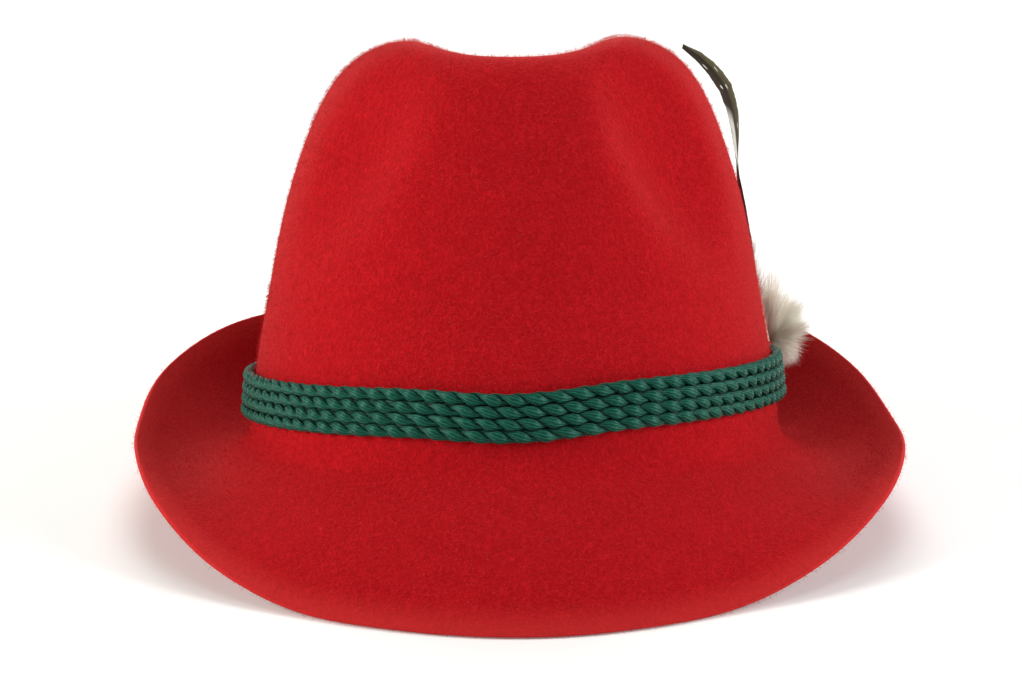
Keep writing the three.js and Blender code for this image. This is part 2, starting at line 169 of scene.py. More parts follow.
def poly_curve(name, lines, depth, sides, cyclic=False):
    """A bevelled curve with one straight-spanned spline a line; a line is (points, radii)."""
    curve = bpy.data.curves.new(name, "CURVE")
    curve.dimensions = "3D"
    curve.bevel_depth = depth
    curve.bevel_resolution = sides
    curve.resolution_u = 1
    for points, radii in lines:
        spline = curve.splines.new("POLY")
        spline.points.add(len(points) - 1)
        flat = np.column_stack([points, np.ones(len(points))]).ravel()
        spline.points.foreach_set("co", flat)
        spline.points.foreach_set("radius", np.asarray(radii, dtype=float))
        spline.use_cyclic_u = cyclic
        spline.use_smooth = True
    return object_of(name, curve)


def color_setting(name, description, color):
    """A colour that a user may change."""
    shown = {"name": name, "description": description, "subtype": "COLOR", "size": 3}
    return bpy.props.FloatVectorProperty(**shown, min=0, max=1, default=linear(color)[:3])


def number_setting(name, description, default, least=0, **more):
    """A number that a user may change."""
    kind = bpy.props.IntProperty if isinstance(default, int) else bpy.props.FloatProperty
    return kind(name=name, description=description, default=default, min=least, **more)


def mm_setting(name, description, default, least, **more):
    """A size in millimetres that a user may change."""
    return number_setting(name, description + ", in millimetres", default, least, **more)


def share_setting(name, description, default, least=0, most=1):
    """A share that a user may change."""
    return number_setting(name, description, default, least, max=most, subtype="FACTOR")


def angle_setting(name, description, degrees):
    """An angle that a user may change."""
    return bpy.props.FloatProperty(
        name=name, description=description, default=math.radians(degrees), subtype="ANGLE"
    )


def power_setting(name, description, default):
    """A light's power that a user may change."""
    return number_setting(name, description, default, subtype="POWER")


# Materials

# Settings that several nodes share
SMOOTH = {"interpolation_type": "SMOOTHSTEP"}
TIMES = {"operation": "MULTIPLY"}
TIMES_PLUS = {"operation": "MULTIPLY_ADD"}
COLORS = {"data_type": "RGBA"}
UV = {"uv_map": "UVMap"}
# The numbers of a colour Mix node's inputs
SHARE, UNDER, OVER = 0, 6, 7


def add_node(tree, kind, inputs=None, **settings):
    """Adds a node with its settings, and fills or links its inputs by name or number.

    A node among the inputs stands for the first of its outputs that is in use.
    """
    made = tree.nodes.new(kind)
    for name, value in settings.items():
        setattr(made, name, value)
    for name, value in (inputs or {}).items():
        if isinstance(value, bpy.types.Node):
            value = next(output for output in value.outputs if output.enabled)
        if isinstance(value, bpy.types.NodeSocket):
            tree.links.new(value, made.inputs[name])
        else:
            made.inputs[name].default_value = value
    return made


def new_material(name):
    """An empty material, and add_node for its tree."""
    material = bpy.data.materials.new(name)
    material.use_nodes = True
    material.node_tree.nodes.clear()
    return material, partial(add_node, material.node_tree)


def finished(material, add, look):
    """Gives a material its shader, with the settings of its look, and its output."""
    shader = add("ShaderNodeBsdfPrincipled", look)
    add("ShaderNodeOutputMaterial", {"Surface": shader})
    return material


def felt_material(felt):
    """Wool felt with a brushed velour nap: matt, soft in its shading and finely mottled.

    Single wool fibres are too fine to show, so grain and curls are drawn 1 to 2 mm across.
    """
    material, add = new_material("wool_velour_felt")
    place = add("ShaderNodeTexCoord").outputs["Object"]
    grains = [
        (felt.mottle_mm * 4, 2, 0.6),
        (felt.mottle_mm, 3, 0.6),
        (felt.nap_mm, 3, 0.7),
        (felt.nap_mm * 0.55, 2, 0.5),
    ]
    clouds, mottle, nap, fuzz = [
        add(
            "ShaderNodeTexNoise",
            {"Vector": place, "Scale": PER_METRE / size, "Detail": detail, "Roughness": rough},
        )
        for size, detail, rough in grains
    ]
    # Matted fibres: a fine curling line wherever a noise crosses its middle, combed two ways
    curls = []
    for size, turn, stretch in [
        (felt.curl_mm, (0.3, 0.2, 0.0), (1.0, 1.0, 0.45)),
        (felt.curl_mm * 0.8, (0.9, -0.5, 0.4), (1.0, 0.5, 1.0)),
    ]:
        combed = add("ShaderNodeMapping", {"Vector": place, "Rotation": turn, "Scale": stretch})
        value = add(
            "ShaderNodeTexNoise",
            {"Vector": combed, "Scale": PER_METRE / size, "Detail": 1.0, "Distortion": 0.8},
        )
        off = add("ShaderNodeMath", {0: value, 1: 0.5}, operation="SUBTRACT")
        far = add("ShaderNodeMath", {0: off}, operation="ABSOLUTE")
        line = add(
            "ShaderNodeMapRange",
            {"Value": far, "From Max": 0.07, "To Min": 1.0, "To Max": 0.0},
            **SMOOTH,
        )
        curls.append(line)
    shade = 0.0
    for value, share in [(clouds, 0.08), (mottle, 0.15), (nap, 0.77)]:
        shade = add("ShaderNodeMath", {0: value, 1: share, 2: shade}, **TIMES_PLUS)
    spread = add(
        "ShaderNodeMapRange",
        {"Value": shade, "From Min": 0.35, "From Max": 0.65, "To Min": 0.05, "To Max": 0.52},
    )
    relief = add("ShaderNodeMath", {0: nap, 1: 1.2, 2: fuzz}, **TIMES_PLUS)
    for line in curls:
        spread = add("ShaderNodeMath", {0: line, 1: 0.36, 2: spread}, **TIMES_PLUS)
        relief = add("ShaderNodeMath", {0: line, 1: 0.5, 2: relief}, **TIMES_PLUS)
    # The raw edge is paler, which fades out within two rings of the mesh
    ring = add("ShaderNodeAttribute", attribute_name="from_edge").outputs["Fac"]
    raw = add(
        "ShaderNodeMapRange", {"Value": ring, "From Max": 1.8, "To Min": 0.5, "To Max": 0.0}, **SMOOTH
    )
    color = opaque(felt.deep_color)
    for share, over in [(spread, felt.light_color), (raw, felt.edge_color)]:
        color = add("ShaderNodeMix", {SHARE: share, UNDER: color, OVER: opaque(over)}, **COLORS)
    bump = add("ShaderNodeBump", {"Height": relief, "Strength": felt.relief, "Distance": 0.25 * MM})
    look = {
        "Base Color": color,
        "Roughness": 0.95,
        "Specular IOR Level": 0.04,
        "Sheen Weight": 0.38,
        "Sheen Roughness": 0.34,
        "Sheen Tint": linear("#FF8078"),
        "Normal": bump,
    }
    return finished(material, add, look)


def nap_material(felt):
    """Loose wool fibres of the nap: fine, matt and a touch paler than the felt below."""
    material, add = new_material("wool_nap_fibre")
    place = add("ShaderNodeTexCoord").outputs["Object"]
    tone = add("ShaderNodeTexNoise", {"Vector": place, "Scale": PER_METRE / 1.4, "Detail": 2.0})
    spread = add("ShaderNodeMapRange", {"Value": tone, "From Min": 0.35, "From Max": 0.65})
    color = add(
        "ShaderNodeMix",
        {SHARE: spread, UNDER: opaque(felt.light_color), OVER: opaque(felt.fibre_color)},
        **COLORS,
    )
    look = {"Base Color": color, "Roughness": 0.9, "Specular IOR Level": 0.08, "Sheen Weight": 0.15}
    return finished(material, add, look)


def cord_material(cord):
    """Rayon cord: bundles of long silky filaments, pale where the light falls, with painted shade in
    the grooves.

    Single filaments are too fine to show, so a few lines round a strand stand for them.
    """
    material, add = new_material("twisted_rayon_cord")
    spot = add("ShaderNodeUVMap", **UV)
    round_strand = add("ShaderNodeSeparateXYZ", {0: spot}).outputs[1]
    place = add("ShaderNodeTexCoord").outputs["Object"]
    wander = add("ShaderNodeTexNoise", {"Vector": place, "Scale": PER_METRE / 1.1, "Detail": 3.0})
    turn = add("ShaderNodeMath", {0: round_strand, 1: float(cord.filaments), 2: wander}, **TIMES_PLUS)
    angle = add("ShaderNodeMath", {0: turn, 1: 2 * math.pi}, **TIMES)
    wave = add("ShaderNodeMath", {0: angle}, operation="SINE")
    line = add("ShaderNodeMapRange", {"Value": wave, "From Min": -1.0})
    patches = add("ShaderNodeMath", {0: wander, 1: 0.35}, **TIMES)
    tone = add("ShaderNodeMath", {0: line, 1: 0.7, 2: patches}, **TIMES_PLUS)
    filament = add(
        "ShaderNodeMix",
        {SHARE: tone, UNDER: opaque(cord.deep_color), OVER: opaque(cord.light_color)},
        **COLORS,
    )
    # Millimetres to the next strand: where strands meet, shade is painted into the colour with the
    # groove shade colour
    gap = add("ShaderNodeAttribute", attribute_name="off_next_strand").outputs["Fac"]
    lit = add("ShaderNodeMapRange", {"Value": gap, "From Min": 0.06, "From Max": 0.66}, **SMOOTH)
    color = add(
        "ShaderNodeMix", {SHARE: lit, UNDER: opaque(cord.groove_color), OVER: filament}, **COLORS
    )
    bump = add("ShaderNodeBump", {"Height": line, "Strength": 0.7, "Distance": 0.16 * MM})
    along = add("ShaderNodeTangent", direction_type="UV_MAP", **UV)
    look = {
        "Base Color": color,
        "Roughness": 0.4,
        "Specular IOR Level": 0.34,
        "Specular Tint": linear("#8FE0C8"),
        "Anisotropic": 0.7,
        "Anisotropic Rotation": 0.25,
        "Tangent": along,
        "Sheen Weight": 0.05,
        "Sheen Roughness": 0.3,
        "Sheen Tint": linear("#B9E2D6"),
        "Normal": bump,
    }
    return finished(material, add, look)


def strand_material(name, root_color, tip_color, rough):
    """Hair or down: darker at the root, paler along its length, softly glossy."""
    material, add = new_material(name)
    along, tint = [
        add("ShaderNodeAttribute", attribute_name=told).outputs["Fac"] for told in ("along", "tint")
    ]
    reach = add("ShaderNodeMapRange", {"Value": along, "From Max": 0.55}, **SMOOTH)
    color = root_color
    for share, over in [(reach, tip_color), (tint, root_color)]:
        color = add("ShaderNodeMix", {SHARE: share, UNDER: color, OVER: over}, **COLORS)
    look = {"Base Color": color, "Roughness": rough, "Specular IOR Level": 0.35, "Sheen Weight": 0.2}
    return finished(material, add, look)


def vane_material(feather):
    """A feather's vane: barbs hooked into a silky sheet, dark brown, and olive behind the shaft.

    It has rare pale spots, a pale patch in front and pale barbs at the quill.
    """
    material, add = new_material("feather_vane")
    spot = add("ShaderNodeUVMap", **UV)
    across, along, _ = add("ShaderNodeSeparateXYZ", {0: spot}).outputs
    scaled = add("ShaderNodeMapping", {"Vector": spot, "Scale": (2.2, 9.0, 1.0)})
    cells = add(
        "ShaderNodeTexVoronoi",
        {"Vector": scaled, "Scale": 1.0, "Randomness": 0.8},
        voronoi_dimensions="2D",
    ).outputs["Distance"]
    streak = add("ShaderNodeTexNoise", {"Vector": scaled, "Scale": 3.0, "Detail": 4.0})
    # Each band rises smoothly from nothing at its start to the most at its end
    patch, below, in_front, front_edge, behind, back_edge, spots, quill = [
        add(
            "ShaderNodeMapRange",
            {"Value": value, "From Min": start, "From Max": end, "To Max": most},
            **SMOOTH,
        )
        for value, start, end, most in [
            (along, 0.5, 0.56, 1.0),
            (along, 0.76, 0.66, 1.0),
            (across, 0.4, 0.22, 1.0),
            (across, 0.42, 0.0, 1.0),
            (across, 0.38, 0.54, 0.5),
            (across, 0.7, 0.92, 1.0),
            (cells, 0.1, 0.05, 0.85),
            (along, 0.36, 0.24, 0.8),
        ]
    ]
    for band in (below, in_front):
        patch = add("ShaderNodeMath", {0: patch, 1: band}, **TIMES)
    color = opaque(feather.dark_color)
    for share, over in [
        (streak, feather.brown_color),
        (front_edge, feather.brown_color),
        (behind, feather.edge_color),
        (back_edge, feather.edge_color),
        (spots, feather.pale_color),
        (patch, feather.pale_color),
        (quill, feather.pale_color),
    ]:
        color = add("ShaderNodeMix", {SHARE: share, UNDER: color, OVER: opaque(over)}, **COLORS)
    look = {"Base Color": color, "Roughness": 0.6, "Specular IOR Level": 0.12}
    return finished(material, add, look)


def shaft_material():
    """A feather's shaft: smooth horn, pale at the quill."""
    material, add = new_material("feather_shaft_horn")
    along = add("ShaderNodeAttribute", attribute_name="along").outputs["Fac"]
    color = add(
        "ShaderNodeMix", {SHARE: along, UNDER: linear("#D8CDB4"), OVER: linear("#3A2E22")}, **COLORS
    )
    look = {"Base Color": color, "Roughness": 0.35, "Specular IOR Level": 0.5}
    return finished(material, add, look)


def floor_material(stage):
    """Matt painted board, with the faintest unevenness in its tone."""
    material, add = new_material("matt_painted_board")
    place = add("ShaderNodeTexCoord").outputs["Object"]
    tone = add("ShaderNodeTexNoise", {"Vector": place, "Scale": 9.0, "Detail": 3.0})
    color = add(
        "ShaderNodeMix",
        {SHARE: tone, UNDER: opaque(stage.floor_color), OVER: linear("#F6F5F2")},
        **COLORS,
    )
    look = {
        "Base Color": color,
        "Roughness": 0.85,
        "Specular IOR Level": 0.1,
        "Emission Color": linear("#FFFFFF"),
        "Emission Strength": stage.floor_glow,
    }
    return finished(material, add, look)


# Felt hood

# A fold sharper than this is the felt's cut edge
SHARP_FOLD = math.radians(70)
# So many rings of the mesh from the cut edge, the brim ends and the crown begins
NAP_RING = 9
# Hand blocking leaves swells about this wide, except in the strip that the hat stands on
WAVER_SPAN = 38 * MM
STANDING_STRIP = 8 * MM


class FeltSettings(bpy.types.PropertyGroup):
    """Sizes and colours of the felt."""

    light_color: color_setting("Lit Felt", "Felt where its nap catches the light", "#BB171E")
    deep_color: color_setting("Deep Felt", "Felt between its fibres", "#940A11")
    edge_color: color_setting("Cut Edge", "Raw edge of the brim", "#C83433")
    fibre_color: color_setting("Loose Fibre", "Loose fibres of the nap", "#CA262B")
    nap_mm: mm_setting("Nap Grain", "Size of the nap's grain", 1.1, 0.2)
    curl_mm: mm_setting("Fibre Curl", "Size of the curls of the matted fibres", 1.7, 0.3)
    mottle_mm: mm_setting("Mottling", "Size of the soft mottling", 6.0, 1)
    relief: share_setting("Nap Relief", "Strength of the nap's relief", 0.46)
    edge_round_mm: mm_setting("Edge Rounding", "Rounding of the cut edge", 0.55, 0.1, max=1)
    waver_mm: mm_setting("Waver", "Unevenness left by blocking by hand", 0.35, 0, max=1)
    fibre_length_mm: mm_setting("Fibre Length", "Length of the loose fibres", 1.2, 0.2)
    fibre_width_mm: mm_setting("Fibre Width", "Width that a fibre is drawn with", 0.078, 0.02)
    crown_density: number_setting("Crown Fibres", "Fibres on a square millimetre of the crown", 1.15)
    brim_density: number_setting("Brim Fibres", "Fibres on a square millimetre of the brim", 1.15)


def mark_rings(shape):
    """Writes how many rings of the mesh a vertex lies from the cut edge; finds the outer faces."""
    layer = shape.verts.layers.float.new("from_edge")
    top = max(shape.verts, key=lambda v: v.co.z)
    outer, waiting = {top.link_faces[0]}, [top.link_faces[0]]
    while waiting:
        for edge in waiting.pop().edges:
            if len(edge.link_faces) == 2 and edge.calc_face_angle() < SHARP_FOLD:
                fresh = [f for f in edge.link_faces if f not in outer]
                outer.update(fresh)
                waiting.extend(fresh)
    rim = {v for v in shape.verts if len({f in outer for f in v.link_faces}) == 2}
    cut_faces = [f for f in shape.faces if f not in outer and sum(v in rim for v in f.verts) >= 2]
    for vert in shape.verts:
        vert[layer] = -1.0
    current, ring = rim | {v for f in cut_faces for v in f.verts}, 0
    while current:
        for vert in current:
            vert[layer] = float(ring)
        neighbours = {edge.other_vert(vert) for vert in current for edge in vert.link_edges}
        current, ring = {vert for vert in neighbours if vert[layer] < 0}, ring + 1
    return outer


def hood_shape(felt):
    """The felt hood with rounded cut edges and a hand-blocked surface."""
    shape = welded("felt_hood")
    mark_rings(shape)
    folds = [e for e in shape.edges if len(e.link_faces) == 2 and e.calc_face_angle() > SHARP_FOLD]
    bmesh.ops.bevel(
        shape,
        geom=folds,
        offset=felt.edge_round_mm * MM,
        segments=2,
        profile=0.5,
        affect="EDGES",
        material=-1,
        clamp_overlap=True,
    )
    for vert in shape.verts:
        waver = noise.noise(vert.co / WAVER_SPAN) * felt.waver_mm * MM
        if vert.co.z > STANDING_STRIP:
            vert.co += vert.normal * waver
    return mesh_of("felt_hood_shape", shape, soft=True)


class TRILBY_OT_felt_hood(bpy.types.Operator):
    """Makes the felt hood of crown and brim from its solid"""

    bl_idname = "trilby.felt_hood"
    bl_label = "Felt Hood"

    def execute(self, context):
        felt = context.scene.trilby_felt
        hood = object_of("felt_body", hood_shape(felt), [felt_material(felt)])
        finer = hood.modifiers.new("soft_surface", "SUBSURF")
        finer.levels = finer.render_levels = 2
        ridden(hood, "felt", "felt_hood")
        return {"FINISHED"}


def fibre_shape(felt):
    """One bent, tapering nap fibre that stands on its root.

    It is drawn a few times as wide as a real one, so that it shows in the render.
    """
    shape = bmesh.new()
    half, length = felt.fibre_width_mm * MM / 2, felt.fibre_length_mm * MM
    root, middle = [
        [shape.verts.new((side * half * width, bow * length, rise * length)) for side in (-1, 1)]
        for width, bow, rise in [(1.0, 0.0, -0.1), (0.8, 0.1, 0.5)]
    ]
    tip = shape.verts.new((0, 0.38 * length, length))
    shape.faces.new([root[0], root[1], middle[1], middle[0]])
    shape.faces.new([middle[0], middle[1], tip])
    return mesh_of("nap_fibre", shape)


def scatter_fibres(name, surface, fibre, density, seed):
    """Stands fibres on a surface, combed round it and a little downwards, as one mesh."""
    tree = bpy.data.node_groups.new(name + "_scatter", "GeometryNodeTree")
    for way in ("INPUT", "OUTPUT"):
        tree.interface.new_socket("Geometry", in_out=way, socket_type="NodeSocketGeometry")
    add = partial(add_node, tree)
    points = add(
        "GeometryNodeDistributePointsOnFaces",
        {"Mesh": add("NodeGroupInput"), "Density": density * PER_METRE**2, "Seed": seed},
    )
    normal = points.outputs["Normal"]
    round_way = add(
        "ShaderNodeVectorMath", {0: (0.0, 0.0, 1.0), 1: normal}, operation="CROSS_PRODUCT"
    )
    combed = add("ShaderNodeVectorMath", {0: round_way, 1: (1.3, 1.3, 1.3), 2: normal}, **TIMES_PLUS)
    stray, spin = [
        add(
            "FunctionNodeRandomValue",
            {"Min": least, "Max": most, "Seed": seed + more},
            data_type="FLOAT_VECTOR",
        )
        for least, most, more in [
            ((-0.75, -0.75, -0.95), (0.75, 0.75, 0.55), 1),
            ((0.0, 0.0, 0.0), (0.0, 0.0, 2 * math.pi), 2),
        ]
    ]
    lean = add("ShaderNodeVectorMath", {0: combed, 1: stray})
    upright = add("FunctionNodeAlignRotationToVector", {"Vector": lean}, axis="Z")
    spun = add("FunctionNodeEulerToRotation", {0: spin})
    turned = add("FunctionNodeRotateRotation", {0: upright, 1: spun}, rotation_space="LOCAL")
    # Inputs 2 and 3 are a random number's least and most
    size = add("FunctionNodeRandomValue", {2: 0.5, 3: 1.25, "Seed": seed + 3})
    many = add(
        "GeometryNodeInstanceOnPoints",
        {
            "Points": points.outputs["Points"],
            "Instance": add("GeometryNodeObjectInfo", {"Object": fibre}).outputs["Geometry"],
            "Rotation": turned,
            "Scale": size,
        },
    )
    add("NodeGroupOutput", {0: add("GeometryNodeRealizeInstances", {0: many})})
    surface.modifiers.new("fibres", "NODES").node_group = tree


def nap_ground(name, wanted):
    """The faces of the felt that one piece of nap stands on."""
    shape = welded("felt_hood")
    outer = mark_rings(shape)
    layer = shape.verts.layers.float["from_edge"]
    doomed = []
    for face in shape.faces:
        ring = sum(v[layer] for v in face.verts) / len(face.verts)
        if not wanted(face in outer, ring, face.calc_center_median().y):
            doomed.append(face)
    bmesh.ops.delete(shape, geom=doomed, context="FACES")
    return object_of(name + "_ground", mesh_of(name + "_ground", shape))


class TRILBY_OT_felt_nap(bpy.types.Operator):
    """Stands loose wool fibres on the felt"""

    bl_idname = "trilby.felt_nap"
    bl_label = "Felt Nap"

    def execute(self, context):
        felt = context.scene.trilby_felt
        fibre = object_of("nap_fibre", fibre_shape(felt))
        material = nap_material(felt)
        crown, brim = felt.crown_density, felt.brim_density
        # Each with its faces, by outer side, ring and depth, its fibres' density and its seed
        parts = [
            ("front_crown_nap", lambda out, ring, y: out and ring > NAP_RING and y < 0, crown, 11),
            ("back_crown_nap", lambda out, ring, y: out and ring > NAP_RING and y >= 0, crown, 17),
            ("brim_nap", lambda out, ring, y: out and ring <= NAP_RING, brim, 23),
            ("under_brim_nap", lambda out, ring, y: not out and ring <= NAP_RING, brim * 0.6, 37),
        ]
        for name, wanted, density, seed in parts:
            ground = nap_ground(name, wanted)
            scatter_fibres(name, ground, fibre, density, seed)
            piece = baked(ground, name, [material])
            if not piece.data.polygons:
                raise RuntimeError(name + " came out empty")
            ridden(piece, "felt")
        bpy.data.objects.remove(fibre)
        return {"FINISHED"}


# Cord band

STRANDS = 2
# Cuts round a cord's solid that its middle is read from
CUTS = 128
# Spans that a line is split into for finding the nearest place on it
FINE = 4
# How finely a strand is rounded, as a curve's bevel resolution
STRAND_SIDES = 4
# How far each cord's twist is turned on from the one below, as an angle
TURNED_ON = 0.7
# Where a wobble's waves may begin, as an angle
PHASES = (0, 6)


class CordSettings(bpy.types.PropertyGroup):
    """Sizes and colours of the band's cords."""

    light_color: color_setting("Lit Cord", "Filaments that catch the light", "#1E6351")
    deep_color: color_setting("Deep Cord", "Grooves between the filaments", "#05211A")
    # The groove shade colour is painted shade, put into the cord's colour where strands meet
    groove_color: color_setting("Groove", "Shaded grooves between the strands", "#04130F")
    strand_radius_mm: mm_setting("Strand Radius", "Radius of a strand where it faces out", 1.85, 0.1)
    strand_offset_mm: mm_setting("Strand Offset", "From a cord's middle to a strand's", 0.86, 0.1)
    flatness: share_setting("Flatness", "A cord's thickness as a share of its height", 0.72, 0.1)
    pinch: share_setting("Pinch", "How much thinner strands are at a cord's edges", 0.48, most=0.9)
    lay_mm: mm_setting("Lay", "Length of one full twist of a cord", 13.2, 2)
    filaments: number_setting("Filament Lines", "Lines of filaments drawn round a strand", 10, 1)
    stations: number_setting("Stations a Twist", "Points along one twist of a strand", 18, 6)


def evened(points, passes):
    """A closed line with its small unevenness smoothed away."""
    for _ in range(passes):
        points = (np.roll(points, 1, 0) + 2 * points + np.roll(points, -1, 0)) / 4
    return points


def cord_line(node, count):
    """Even points along a cord's middle, the ways outward and up there, and the cord's length."""
    low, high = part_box(node)
    middle = (np.array(low) + np.array(high)) / 2
    coarse = []
    for angle in np.linspace(0, 2 * math.pi, CUTS, endpoint=False):
        away = np.array([math.cos(angle), math.sin(angle), 0.0])
        points = section(node, middle, (-away[1], away[0], 0.0)) - middle
        points = points[points @ away > 0]
        reach = (points @ away).min() / 2 + (points @ away).max() / 2
        rise = points[:, 2].min() / 2 + points[:, 2].max() / 2
        coarse.append(middle + away * reach + (0, 0, rise))
    coarse = evened(np.array(coarse), 3)
    closed = np.vstack([coarse, coarse[:1]])
    travelled = np.concatenate([[0], np.cumsum(np.linalg.norm(np.diff(closed, axis=0), axis=1))])
    wanted = np.linspace(0, travelled[-1], count, endpoint=False)
    line = np.column_stack([np.interp(wanted, travelled, closed[:, i]) for i in range(3)])
    line = evened(line, 12)
    tangent = unit(np.roll(line, -1, 0) - np.roll(line, 1, 0))
    outward = unit(np.cross(tangent, (0, 0, 1.0)))
    return line, outward, np.cross(outward, tangent), travelled[-1]


def nearest_on(points):
    """A tree of a closed line's points, with more between each two of them."""
    spans = np.roll(points, -1, 0) - points
    fine = np.stack([points + spans * (step / FINE) for step in range(FINE)], 1)
    tree = KDTree(len(points) * FINE)
    for index, point in enumerate(fine.reshape(-1, 3)):
        tree.insert(point, index)
    tree.balance()
    return tree


def press_cord(mesh, line, outward, trees, cord):
    """Marks how far each point lies off the next strand, for the painted groove shade, then presses
    the cord flat on the crown.
    """
    middle = nearest_on(line)
    gaps = []
    for vert in mesh.vertices:
        near = [(tree.find(vert.co), thick) for tree, thick in trees]
        # The nearest strand is the point's own, so the second nearest is the next
        gaps.append(sorted(found[2] - thick[found[1] // FINE] for found, thick in near)[1] / MM)
        place, index, _ = middle.find(vert.co)
        way = Vector(outward[index // FINE])
        vert.co -= way * (vert.co - place).dot(way) * (1 - cord.flatness)
    write_attribute(mesh, "off_next_strand", gaps)


def wobble(travel, size, waves, dice):
    """An unevenness of some size that comes and goes a number of times round the band."""
    return size * np.sin(travel * waves + dice.uniform(*PHASES))


class TRILBY_OT_band_cords(bpy.types.Operator):
    """Twists the four cords of the band round the crown"""

    bl_idname = "trilby.band_cords"
    bl_label = "Band Cords"

    def execute(self, context):
        cord = context.scene.trilby_cord
        material = cord_material(cord)
        dice = random.Random(5)
        twists = round(cord_line(CORD_NODES[0], 64)[3] / (cord.lay_mm * MM))
        count = twists * cord.stations
        travel = np.arange(count) / count * 2 * math.pi
        cords = []
        for order, node in enumerate(CORD_NODES):
            line, outward, up, _ = cord_line(node, count)
            strands = []
            drift = wobble(travel, 0.4, 3, dice) + wobble(travel, 0.25, 8, dice)
            for strand in range(STRANDS):
                uneven = wobble(travel, 0.1, 17, dice)
                phase = order * TURNED_ON + drift + strand * 2 * math.pi / STRANDS
                turn = phase - travel * twists + uneven
                offset = np.cos(turn)[:, None] * outward + np.sin(turn)[:, None] * up
                swell = 1 - cord.pinch * np.sin(turn) ** 2 + wobble(travel, 0.03, 41, dice)
                strands.append((line + offset * cord.strand_offset_mm * MM, swell))
            cords.append((node, line, outward, strands))
        thick = cord.strand_radius_mm * MM
        # Every strand of every cord is searched, so the painted groove shade also falls where one
        # cord meets the next
        every = [strand for *_, strands in cords for strand in strands]
        trees = [(nearest_on(points), swell * thick) for points, swell in every]
        for node, line, outward, strands in cords:
            curve = poly_curve(node + "_strands", strands, thick, STRAND_SIDES, cyclic=True)
            piece = baked(curve, node + "_twist", [material])
            smooth(piece.data)
            press_cord(piece.data, line, outward, trees, cord)
            ridden(piece, "cord", node)
        return {"FINISHED"}


# Fur brush

HAIR_STEPS = 5
# Hairs are kept so far off the felt and the cords
CLEARANCE = 0.5 * MM


class FurSettings(bpy.types.PropertyGroup):
    """Sizes and colours of the fur brush."""

    root_color: color_setting("Fur Root", "Fur near the skin", "#D6D1B8")
    tip_color: color_setting("Fur Tip", "Outer fur", "#FFFDF2")
    hairs: number_setting("Hairs", "Number of hairs drawn", 8600, 10)
    upright_hairs: number_setting("Upright Hairs", "Hairs that stand up beside the crown", 3600)
    hanging_hairs: number_setting("Hanging Hairs", "Hairs that fall out over the band", 2600)
    facing_hairs: number_setting("Facing Hairs", "Hairs that stand straight off the crown", 1400)
    wisps: number_setting("Long Wisps", "Long hairs that lie up the crown and over the quills", 1500)
    hair_width_mm: mm_setting("Hair Width", "Width that a hair is drawn with", 0.13, 0.02)
    head_radius_mm: mm_setting("Head Radius", "Radius of the head that the fur grows from", 3.3, 0.5)


def strand_ribbons(name, lines, width, material):
    """Hairs as ribbons, each with its place along the hair and its own tint.

    A ribbon is wider than a real hair, so that it shows in the render.
    """
    shape = bmesh.new()
    along = shape.verts.layers.float.new("along")
    tint = shape.verts.layers.float.new("tint")
    for points, side, shade in lines:
        last = None
        count = len(points) - 1
        for index, point in enumerate(points):
            share = index / count
            half = side * (width * (1 - share) ** 0.6 / 2)
            ends = (point - half, point + half) if index < count else (point,)
            row = [shape.verts.new(end) for end in ends]
            for vert in row:
                vert[along] = share
                vert[tint] = shade
            if last:
                shape.faces.new(last + row[::-1])
            last = row
    return object_of(name, mesh_of(name, shape, soft=True), [material])


def bent_hair(root, tip, bend):
    """Points of a hair that leaves its root straight and bends towards its tip."""
    shares = [step / HAIR_STEPS for step in range(HAIR_STEPS + 1)]
    return [root.lerp(tip, s) + bend * (s * s * (1.5 - s)) for s in shares]


def solid_tree(*nodes):
    """The surfaces of CAD nodes, for finding the nearest place on them."""
    places, faces = [], []
    for node in nodes:
        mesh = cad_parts[node].data
        first = len(places)
        places.extend(v.co.copy() for v in mesh.vertices)
        faces.extend([first + i for i in f.vertices] for f in mesh.polygons)
    return BVHTree.FromPolygons(places, faces)


def kept_off(tree, point):
    """A point moved straight out of the surfaces so that it lies clear of them."""
    place, normal, _, _ = tree.find_nearest(point)
    depth = (point - place).dot(normal)
    return point if depth >= CLEARANCE else point + normal * (CLEARANCE - depth)


def brush_places(radius):
    """The middle of the brush's head, the ways out, up and to the front, and its solid's points."""
    places = [v.co.copy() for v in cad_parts["fur_tuft"].data.vertices]
    centre = sum(places, Vector()) / len(places)
    outward = solid_tree("felt_hood").find_nearest(centre)[1]
    inner = min(places, key=lambda p: p.dot(outward))
    up = (UP - outward * outward.z).normalized()
    return inner + outward * radius, outward, up, outward.cross(up), places


